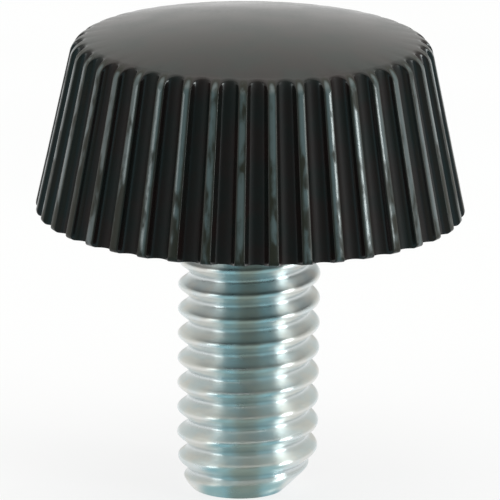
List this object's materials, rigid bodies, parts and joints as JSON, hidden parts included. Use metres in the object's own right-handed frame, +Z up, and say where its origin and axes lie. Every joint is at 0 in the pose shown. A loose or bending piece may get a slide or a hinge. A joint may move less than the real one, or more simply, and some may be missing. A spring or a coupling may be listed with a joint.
{
  "type": "decorative screw",
  "caption": "Thumb screw with a low tapered black plastic head, fluted round its side, moulded on a zinc-plated steel machine screw with a right-hand thread.",
  "frame": {"origin": "centre of the head's under face, on the screw's axis", "axes": "+Z up along the screw's axis, from the thread's end to the crown; -Y is the front, the side the picture was taken from; the screw stands on the flat end of its thread, 7.8 mm below the origin"},
  "size_m": [0.0118, 0.0118, 0.0131],
  "materials": {
    "head_plastic": "satin moulded black",
    "screw_steel": "bright zinc plated"
  },
  "bodies": {
    "root": {"fluted_head": "head_plastic", "threaded_screw": "screw_steel"}
  },
  "joints": []
}
